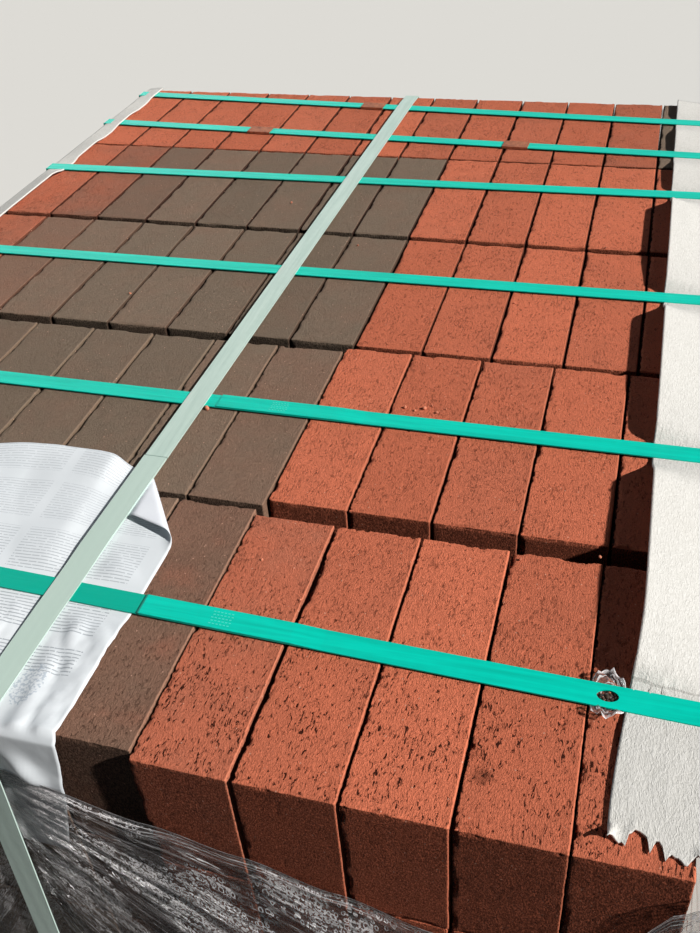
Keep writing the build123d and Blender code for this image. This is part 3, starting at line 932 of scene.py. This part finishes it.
def rolled_point(base, out, beyond, roll):
    """A point beyond the corner's fold: up round the roll and back over the sheet, under the strap."""
    turn = min(beyond / roll, pi)
    rest = beyond - turn * roll
    spot = base + out * (roll * sin(turn) + rest * cos(turn))
    strap_middle = long_strap_x(spot.y)
    height = max(0.0006, roll * (1 - cos(turn)))
    height = min(height, 0.0010 + 0.65 * max(0.0, spot.x - strap_middle - 0.0085))
    return (max(spot.x, strap_middle - 0.0055), spot.y, FOLD_Z + FOLD_RADIUS + height)


def label_point(across, along):
    """A point of the sheet: across from its left edge, along from the low end of its hanging part."""
    x = LABEL_RIGHT - LABEL_WIDTH + across
    past_fold = along - LABEL_DROP
    if past_fold < -FOLD_ARC:
        return hanging_point(x, across, -past_fold - FOLD_ARC)
    if past_fold < FOLD_ARC:
        turn = (past_fold + FOLD_ARC) / FOLD_RADIUS
        return (x, FOLD_Y - FOLD_RADIUS * cos(turn), FOLD_Z + FOLD_RADIUS * sin(turn))
    y = FOLD_Y + past_fold - FOLD_ARC
    from_crown = (x - LABEL_CROWN) / CROWN_REACH
    y -= CROWN_DEPTH * min(1.4, from_crown * from_crown) * smoothstep(0.14, LABEL_TOP, y - STACK_FRONT)

    # The back right corner is folded over, and its roll widens towards the right edge
    fold = (CORNER_OPEN - CORNER_TIGHT).normalized()
    out = Vector((-fold.y, fold.x))
    from_tight = Vector((x, y)) - CORNER_TIGHT
    share = max(0.0, min(1.15, from_tight.dot(fold) / (CORNER_OPEN - CORNER_TIGHT).length))
    roll = 0.0006 + 0.0036 * share
    beyond = from_tight.dot(out) + roll
    if beyond > 0:
        return rolled_point(Vector((x, y)) - out * beyond, out, beyond, roll)

    # It lies flat beside the straps, swells between them, is crumpled in front and lifts behind
    off_cross = smoothstep(0.009, 0.030, abs(y - cross_strap_y(0, x)))
    off_long = smoothstep(0.010, 0.030, abs(x - long_strap_x(y)))
    swell = 0.0055 * max(0.0, ripple(x * 13, y * 11, 8)) + 0.0010 * ripple(x * 40, y * 34, 3)
    before_strap = smoothstep(0.0, 0.02, cross_strap_y(0, x) - y)
    crumple = 0.0062 * abs(ripple(x * 52 + y * 16, y * 20, 1)) + 0.0016 * abs(ripple(x * 150, y * 130, 6))
    edge_lift = 0.0045 * smoothstep(0.05, 0.0, STACK_FRONT + LABEL_TOP - y) * off_long
    from_roll = smoothstep(0.0, 0.02, -beyond)
    lift = off_cross * off_long * from_roll * (swell + crumple * before_strap) + edge_lift * from_roll
    return (x, y, FOLD_Z + FOLD_RADIUS + max(0.0, lift))


def make_label():
    """The sheet, printed on its face and plain behind."""
    length = LABEL_TOP + LABEL_DROP
    columns = round(LABEL_WIDTH / LABEL_STEP)
    rows = round(length / LABEL_STEP)

    def spot_of(i, j):
        """Across and along the sheet in metres."""
        return LABEL_WIDTH * i / columns, length * j / rows

    mesh = sheet_mesh(
        "label_sheet_paper", columns, rows, lambda i, j: label_point(*spot_of(i, j)), spot_of, "sheet",
    )
    label = add_piece("label_sheet_paper", mesh, PAPER, ["label_sheet"])
    thicken(label, PAPER_THICKNESS, PAPER_BACK)


make_label()


# ---- Fibre board angles over the top side edges

BOARD_THICKNESS = 0.0014
BOARD_REACH = 0.0015
BOARD_BEND = 0.004
# The torn end has rows of its own, and behind it they stand about four steps apart
TORN_ROWS = 30
TORN_RUN = 0.045
ROW_DENSITY = 0.252
BITE_WIDTH = 0.0078


def board_rise(y, height):
    """How high the free edge of a board stands between the straps that hold it down."""
    middles = [cross_strap_y(index, RIGHT_END) for index in range(len(CROSS_STRAPS))]
    ahead = [middle for middle in middles if middle <= y]
    behind = [middle for middle in middles if middle > y]
    if not ahead:
        return 0.0006 * smoothstep(0.10, 0.03, behind[0] - y) * smoothstep(0.006, 0.02, behind[0] - y)
    if not behind:
        return 0.3 * height * smoothstep(0.008, 0.03, y - ahead[-1])
    span = behind[0] - ahead[-1]
    past = y - ahead[-1]
    sprung = 0.74 * smoothstep(0.0088, 0.021, past) + 0.26 * smoothstep(0.010, 0.090, past)
    held = sprung * smoothstep(0.010, 0.045, behind[0] - y)
    return height * held * min(1.0, span / 0.2) * (1 - 0.06 * (len(ahead) - 1))


def make_protector(side, fold_x, direction, top_leg, side_leg, front_flare, rise, step):
    """A felted angle pressed down by the straps, standing up between them and torn at its front end."""
    outside = fold_x + direction * BOARD_REACH
    width = top_leg + side_leg
    columns = round(width / step)
    rows = round(ROW_DENSITY / step)

    def section(across):
        """X and Z at a distance over the angle from its free top edge."""
        past_bend = across - (top_leg - BOARD_BEND)
        if past_bend < 0:
            return outside - direction * (top_leg - across), STRAP_UNDERSIDE
        turn = past_bend / BOARD_BEND
        if turn < pi / 2:
            return (
                outside - direction * (BOARD_BEND - BOARD_BEND * sin(turn)),
                STRAP_UNDERSIDE - BOARD_BEND + BOARD_BEND * cos(turn),
            )
        return outside, STRAP_UNDERSIDE - BOARD_BEND - (past_bend - BOARD_BEND * pi / 2)

    def front_of(across):
        """Where the torn front end lies for each line of the angle: round bites with points between."""
        share = min(1.0, across / top_leg)
        phase = across / BITE_WIDTH + 0.75 * ripple(across * 95, 3.0, direction)
        along_bite = (phase % 1.0) * 2 - 1
        size = 0.35 + abs(ripple(floor(phase) * 1.7, 4.0, direction)) * 2.2
        bite = 0.0100 * min(1.2, size) * max(0.0, 1 - along_bite * along_bite) ** 0.6
        frayed = 0.0014 * ripple(across * 800, 1.0, 2.0) + 0.0016 * ripple(across * 330, 6.0, 2.0)
        return STACK_FRONT + 0.0100 - 0.0075 * share + bite + frayed

    def point_of(i, j):
        """A point of the angle, its rows close together at the torn end."""
        across = width * i / columns
        start = front_of(across)
        if j <= TORN_ROWS:
            y = start + TORN_RUN * (j / TORN_ROWS) ** 1.3
        else:
            y = start + TORN_RUN + (STACK_BACK - start - TORN_RUN) * (j - TORN_ROWS) / (rows - TORN_ROWS)
        x, z = section(across)
        if across >= top_leg:
            return (x + direction * 0.0002 * ripple(y * 60, z * 60, 2), y, z)
        free = max(0.0, 1 - across / top_leg)
        x -= direction * front_flare * free * smoothstep(STACK_FRONT + 0.17, STACK_FRONT + 0.02, y)
        lift = board_rise(y, rise) * (0.92 + 0.16 * ripple(y * 3.1, 2.0, direction))
        x += direction * 0.04 * lift * free
        clear = off_cross_straps(x, y, 0.008, 0.02)
        tip = smoothstep(0.010, 0.0, y - start)
        curl = tip * (0.0030 * max(0.0, ripple(across * 150, 1.0, 5)) + 0.0060 * smoothstep(0.9, 1.0, free))
        return (x, y, z + lift * free + curl + 0.0002 * clear * ripple(x * 90, y * 70, 6))

    def map_of(i, j):
        """Over the angle and along it, in metres."""
        return (width * i / columns, 0.0028 * j)

    name = f"fibre_angle_{side}"
    mesh = sheet_mesh(name, columns, rows, point_of, map_of, "board")
    piece = add_piece(name, mesh, FIBRE_BOARD, [f"edge_protector_{side}"])
    if direction < 0:
        mesh.flip_normals()
    thicken(piece, BOARD_THICKNESS)


make_protector("right", RIGHT_END, 1, 0.044, 0.044, front_flare=0.009, rise=0.019, step=0.0012)
make_protector("left", LEFT_END, -1, 0.024, 0.064, front_flare=0.002, rise=0.008, step=0.0020)


# ---- Stretch wrap round the sides

WRAP_HALF_X = 0.387925
WRAP_HALF_Y = 0.52475
WRAP_CORNER = 0.005
WRAP_LOW = 0.1230
WRAP_COLUMNS = 620
WRAP_ROWS = 118
WRAP_DROP = 0.8
# Sides in their order round the load, with the direction along each and outwards
WRAP_SIDES = (
    ("front", Vector((1, 0)), Vector((0, -1))), ("right", Vector((0, 1)), Vector((1, 0))),
    ("back", Vector((-1, 0)), Vector((0, 1))), ("left", Vector((0, -1)), Vector((-1, 0))),
)
# Top edge of the wrap on the front face: X, and depth under the top of the load
FRONT_HEM = (
    (-0.388, 0.036), (0.010, 0.037), (0.086, 0.055), (0.140, 0.067), (0.196, 0.083), (0.254, 0.101),
    (0.310, 0.096), (0.350, 0.062), (0.374, 0.022), (0.388, 0.006),
)


def hem_depth(x):
    """How far the wrap's top edge lies under the top of the load, on the front face."""
    for (low_x, low), (high_x, high) in zip(FRONT_HEM, FRONT_HEM[1:]):
        if x <= high_x:
            return low + (high - low) * smoothstep(0, 1, (x - low_x) / (high_x - low_x))
    return FRONT_HEM[-1][1]


def wrap_side(run):
    """A point on the wrap's outline, the direction outwards, and the side, at a run from front left."""
    quarter = WRAP_CORNER * pi / 2
    for side, along, out in WRAP_SIDES:
        half_along, half_out = (WRAP_HALF_X, WRAP_HALF_Y) if along.x else (WRAP_HALF_Y, WRAP_HALF_X)
        straight = 2 * (half_along - WRAP_CORNER)
        if run <= straight:
            return along * (run - straight / 2) + out * half_out, out, side
        run -= straight
        if run <= quarter or side == "left":
            heading = out * cos(run / WRAP_CORNER) + along * sin(run / WRAP_CORNER)
            corner = along * (straight / 2) + out * (half_out - WRAP_CORNER)
            return corner + heading * WRAP_CORNER, heading, side
        run -= quarter


def make_wrap():
    """The thin sleeve, drawn into folds that follow its sagging front edge."""
    girth = 4 * (WRAP_HALF_X + WRAP_HALF_Y - 2 * WRAP_CORNER) + 2 * pi * WRAP_CORNER
    folds = {}

    def point_of(i, j):
        """A point of the sleeve. It keeps its place along the folds for the map."""
        run = girth * (i % WRAP_COLUMNS) / WRAP_COLUMNS
        outline, out, side = wrap_side(run)
        depth = hem_depth(outline.x) if side == "front" else 0.006 + 0.003 * ripple(run * 4, 0, 1)
        top = STACK_TOP - depth
        share = j / WRAP_ROWS
        down = (top - WRAP_LOW) * (share ** 1.5)
        z = top - down
        # It is close to the lengthwise strap and fans out from its top edge
        on_end = side in ("front", "back") and abs(out.y) > 0.9
        from_strap = abs(outline.x - long_strap_x_below(z, outline.y < 0))
        clear = smoothstep(0.010, 0.035, from_strap) if on_end else 1.0
        spread_out = 0.15 / (0.065 + abs(outline.x - LONG_FRONT_X)) if on_end else 0.5
        fan = spread_out + (0.5 - spread_out) * smoothstep(0.30, 0.38, abs(outline.x))
        slant = down * fan + 0.02 * sin(run * 7) * share
        swell = 0.0040 * abs(ripple(run * 6.0, slant * 40, 1))
        swell += 0.0026 * abs(ripple(run * 13, slant * 130, 5))
        hem = 0.0018 * smoothstep(0.006, 0.0, down)
        if i < WRAP_COLUMNS:
            folds[i, j] = slant
        spot = outline + out * (clear * (0.0014 + swell * smoothstep(0.0, 0.01, down) + hem))
        return (spot.x, spot.y, z)

    def map_of(i, j):
        """Along the girth and along the folds, in metres."""
        return (girth * i / WRAP_COLUMNS, folds[i % WRAP_COLUMNS, j])

    mesh = sheet_mesh("stretch_wrap", WRAP_COLUMNS, WRAP_ROWS, point_of, map_of, "wrap")
    depths = [WRAP_DROP * (j / WRAP_ROWS) ** 1.5 for j in range(WRAP_ROWS + 1)]
    store(mesh, "depth", [depth for depth in depths for _ in range(WRAP_COLUMNS + 1)])
    weld = bmesh.new()
    weld.from_mesh(mesh)
    bmesh.ops.remove_doubles(weld, verts=weld.verts, dist=0.00001)
    bmesh.ops.recalc_face_normals(weld, faces=weld.faces)
    weld.to_mesh(mesh)
    weld.free()
    wrap = add_piece("stretch_wrap", mesh, WRAP, ["stretch_film"])


make_wrap()


# ---- Scrap of film round the hole in the front strap

def make_scrap():
    """A crumpled scrap of wrap under the front strap, its edges standing up."""
    hole = Vector((HOLE_X, cross_strap_y(0, HOLE_X)))
    rings = 14
    spokes = 40

    def point_of(i, j):
        """A point of the scrap on a spoke and a ring round the hole."""
        angle = 2 * pi * (i % spokes) / spokes
        share = (j + 0.3) / (rings + 0.3)
        size = 1 + 0.22 * ripple(cos(angle) * 2.1, sin(angle) * 2.1, 9)
        x = 0.0105 * cos(angle) * share * size
        y = 0.0165 * sin(angle) * share * size
        clear = smoothstep(0.0078, 0.0105, abs(y))
        crumple = abs(ripple(x * 330, y * 300, 4)) + 0.5 * abs(ripple(x * 800, y * 700, 2))
        lift = 0.0005 + clear * (0.0060 * crumple + 0.0025 * share)
        return (hole.x + x, hole.y + y, STACK_TOP + lift)

    mesh = sheet_mesh(
        "crumpled_film_scrap", spokes, rings, point_of, lambda i, j: (0.0016 * i, 0.0012 * j), "wrap",
    )
    store(mesh, "depth", [0.0012 * (rings - j) for j in range(rings + 1) for _ in range(spokes + 1)])
    scrap = add_piece("crumpled_film_scrap", mesh, SCRAP_WRAP, ["film_scrap"])


make_scrap()


# ---- Weld marks, crumbs and nails: small things set on points

def small_setter(name, shape_kind, shape_sockets, spin=0):
    """Sets one small shape on every point, sized by its values. With a spin it is turned and lumpy."""
    small = Setter(name, {"Places": "Geometry", "Finish": "Material"})
    sockets = {"Scale": small.named("size", "FLOAT_VECTOR")}
    if spin:
        turns = {0: (-spin, -spin, -3.1), 1: (spin, spin, 3.1), "Seed": 4}
        random = small.add("FunctionNodeRandomValue", turns, data_type="FLOAT_VECTOR")
        sockets["Rotation"] = random.outputs["Value"]
    pieces = small.laid(small.add(shape_kind, shape_sockets).outputs["Mesh"], **sockets)
    if spin:
        # Lumps 1.6 mm wide, up to 0.6 mm high
        lumps = small.add("ShaderNodeTexNoise", {"Vector": small.position(), "Scale": 1000 / 1.6})
        centred = small.vectors("SUBTRACT", lumps.outputs["Color"], (0.5, 0.5, 0.5))
        pieces = small.moved(pieces, small.vectors("SCALE", centred, 0.0012))
    return small.done(pieces)


def set_small(name, setter, places, finish):
    """Set small shapes at places, each a point and a size, as one piece."""
    points, sizes = zip(*places)
    set_shapes(name, setter, points, {"size": sizes}, {"Finish": finish})


WELD_SETTER = small_setter("weld_setter", "GeometryNodeMeshCube", {"Size": (1, 1, 1)})
CRUMB_SHAPE = {"Radius": 1.0, "Subdivisions": 2}
CRUMB_SETTER = small_setter("crumb_setter", "GeometryNodeMeshIcoSphere", CRUMB_SHAPE, spin=1.2)
NAIL_SHAPE = {"Vertices": 14, "Radius": 0.5, "Depth": 1.0}
NAIL_SETTER = small_setter("nail_setter", "GeometryNodeMeshCylinder", NAIL_SHAPE)

# Crumbs in mm: X from the front row's right end, Y from its front, and their radius
CRUMBS = (
    (-219.5, 345.1, 1.6), (-211.0, 342.6, 1.1), (-204.2, 346.6, 1.9), (-193.8, 343.1, 1.3),
    (-199.5, 351.5, 1.0), (-207.0, 338.4, 0.9), (-188.0, 349.0, 0.8), (-373.6, 314.9, 2.4),
    (-272.3, 161.2, 1.0), (-236.8, 132.3, 0.9), (-109.3, 195.6, 1.2), (-60.5, 208.4, 1.3),
    (-47.0, 101.5, 1.1), (-49.8, 97.0, 0.9), (-330.0, 610.0, 1.2), (-520.0, 480.0, 1.3),
    (-610.0, 330.0, 1.2), (-160.0, 520.0, 1.1), (-430.0, 700.0, 1.4), (-90.0, 640.0, 1.2),
)
# Litter in mm in the front strap's hole: along the strap from its middle, across it, and the radius
LITTER = (
    (-4.2, 0.6, 1.3), (-2.0, -1.4, 1.5), (0.2, 0.8, 1.6), (2.2, -0.8, 1.3),
    (4.0, 0.7, 1.2), (-1.0, 1.9, 1.1), (1.4, 2.0, 1.0), (3.2, -2.2, 1.0),
    (-3.0, -2.3, 1.0), (0.6, -2.4, 1.1),
)


def set_weld_marks():
    """Five rows of six short ridges pressed across each welded lap."""
    places = []
    for index, start_x in ((0, FRONT_ROW_RIGHT - 0.284), (1, FRONT_ROW_RIGHT - 0.322)):
        for line in range(5):
            for dash in range(6):
                x = start_x + 0.0024 * dash + 0.0006 * (line % 2)
                y = cross_strap_y(index, x) + 0.0024 * (line - 2)
                places.append(((x, y, STRAP_TOP + STRAP_THICKNESS), (0.0013, 0.0006, 0.0003)))
    set_small("weld_marks", WELD_SETTER, places, WELD)


def set_crumbs():
    """Crumbs of clay on the bricks, most of them by the second strap, and litter in the strap's hole, near
    black partly as painted shade of the hole.
    """
    crumbs = []
    for x, y, radius in CRUMBS:
        r = radius / 1000
        place = (FRONT_ROW_RIGHT + x / 1000, STACK_FRONT + y / 1000, STACK_TOP + r * 0.45)
        crumbs.append((place, (r, r * 0.8, r * 0.7)))
    set_small("clay_crumbs", CRUMB_SETTER, crumbs, CRUMB_CLAY)
    litter = []
    for across, along, radius in LITTER:
        x = HOLE_X + across / 1000
        r = radius / 1000
        litter.append(((x, cross_strap_y(0, x) + along / 1000, STACK_TOP + 0.0008), (r, r * 0.8, r * 0.45)))
    set_small("leaf_litter", CRUMB_SETTER, litter, DARK_HOLE_LITTER)


set_weld_marks()
set_crumbs()


# ---- Pallet

def saw_board(node, radius, finish):
    """A sawn board in its node's place, with rounded arrises, cut every 20 mm and a little uneven."""
    low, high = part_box(node)
    size, middle = high - low, (high + low) / 2
    half = size / 2
    cuts = [cuts_along(length, (radius * 0.4, radius * 1.1), 0.02) for length in size]

    def place_corner(spot):
        """A corner of a cell on the rounded and uneven outside."""
        core, out = core_and_out(Vector([spot[axis] - half[axis] for axis in range(3)]), half, radius)
        point = middle + core + out * radius
        return point - out * (0.0005 * abs(ripple(point.x * 55, point.y * 55, point.z * 55)))

    name = "sawn_" + node
    add_piece(name, block_mesh(name, cuts, place_corner), finish, [node])


def make_pallet():
    """Rough-sawn boards and stringers, nailed together."""
    boards = [f"deck_board_{number}" for number in range(1, 8)]
    boards += [f"bottom_board_{number}" for number in range(1, 4)]
    stringers = [f"stringer_{side}" for side in ("left", "middle", "right")]
    for node in boards:
        saw_board(node, 0.0015, PINE_ACROSS)
    for node in stringers:
        saw_board(node, 0.002, PINE_ALONG)
    # Two nails go through each board into each stringer, beside its middle
    places = []
    middles = [sum(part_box(node), Vector()).x / 2 for node in stringers]
    for node in boards:
        low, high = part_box(node)
        z = high.z if node.startswith("deck") else low.z + 0.0004
        for middle in middles:
            for share, aside in ((0.22, -0.006), (0.78, 0.006)):
                y = low.y + (high.y - low.y) * share
                places.append(((middle + aside, y, z), (0.0085, 0.0085, 0.0008)))
    set_small("nail_heads", NAIL_SETTER, places, NAIL_STEEL)


make_pallet()


# ---- Materials of the nodes whose CAD shape stays

KEPT_FINISHES = {
    "hidden_brick_core": SHADED_JOINT_CLAY,
    "lengthwise_strap": PALE_STRAP,
    "cross_strap_1": FRONT_STRAP,
    **{f"cross_strap_{number}": GREEN_STRAP for number in range(2, 7)},
    **{f"strap_seal_{number}": SEAL_STEEL for number in range(1, 4)},
}
for node_name, finish in KEPT_FINISHES.items():
    for material_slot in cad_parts[node_name].material_slots:
        material_slot.material = finish


# ---- Stage, light and camera

def pale_floor():
    """A plain pale floor that keeps the shadow and throws little light back on the load."""
    floor_finish = Finish("pale_floor")
    tree = floor_finish.tree
    tree.nodes.remove(tree.nodes["Principled BSDF"])
    rays = floor_finish.add("ShaderNodeLightPath").outputs
    seen = floor_finish.larger(rays["Is Camera Ray"], rays["Is Glossy Ray"])
    seen_through = floor_finish.larger(seen, rays["Is Transmission Ray"])
    dim, pale = [
        floor_finish.add("ShaderNodeBsdfDiffuse", {"Color": linear(colour)}).outputs[0]
        for colour in ("#2E2D2C", "#DAD9D5")
    ]
    surface = floor_finish.add("ShaderNodeMixShader", {0: seen_through, 1: dim, 2: pale}).outputs[0]
    fill(tree, tree.nodes["Material Output"], {"Surface": surface})
    half = 9
    corners = [(-half, -half, 0), (half, -half, 0), (half, half, 0), (-half, half, 0)]
    floor_mesh = mesh_from("floor", corners, [(0, 1, 2, 3)])
    floor_mesh.materials.append(floor_finish.material)
    add_to_scene("floor", floor_mesh)


def studio_light():
    """A key light from the right, a weak low one from behind on the left, and an even pale surround."""
    lamps = (
        ("key", (0.85, -0.14, 0.60), 5.35, 0.03, (1.0, 0.98, 0.95)),
        ("fill", (-0.60, 0.78, 0.03), 1.2, 0.8, (0.93, 0.97, 1.0)),
    )
    for name, direction, energy, angle, colour in lamps:
        light = bpy.data.lights.new(name, "SUN")
        light.energy = energy
        light.angle = angle
        light.color = colour
        lamp = add_to_scene(name, light)
        lamp.rotation_mode = "QUATERNION"
        lamp.rotation_quaternion = Vector(direction).to_track_quat("Z", "Y")
    world = bpy.data.worlds.new("surround")
    bpy.context.scene.world = world
    world.use_nodes = True
    sky = Nodes(world.node_tree)
    # It looks bright to the camera and lights the load weakly
    rays = sky.add("ShaderNodeLightPath").outputs
    seen = sky.larger(rays["Is Camera Ray"], sky.times(rays["Is Glossy Ray"], 0.8))
    unseen = sky.maths("SUBTRACT", 1.0, seen, clamp=True)
    colour = sky.mixed(unseen, "#EEF2F8", "#CFE2FF")
    strength = sky.levels(seen, 0.0, 1.0, 0.038, 0.92)
    fill(sky.tree, sky.tree.nodes["Background"], {"Color": colour, "Strength": strength})


def photo_camera():
    """The camera in front of the right-hand corner, above the load."""
    right = Vector((0.96103827, 0.26921488, -0.06268001))
    down = Vector((0.12117052, -0.61412191, -0.77985382))
    forward = Vector((-0.24844143, 0.7418744, -0.62281557))
    camera_data = bpy.data.cameras.new("camera")
    camera_data.lens = 38.177
    camera_data.clip_start = 0.01
    camera = add_to_scene("camera", camera_data)
    turn = Matrix((right, -down, -forward)).transposed().to_4x4()
    camera.matrix_world = Matrix.Translation((0.3117417, -0.7889315, 1.3810264)) @ turn
    bpy.context.scene.camera = camera


pale_floor()
studio_light()
photo_camera()
bpy.context.scene.view_settings.view_transform = "Standard"
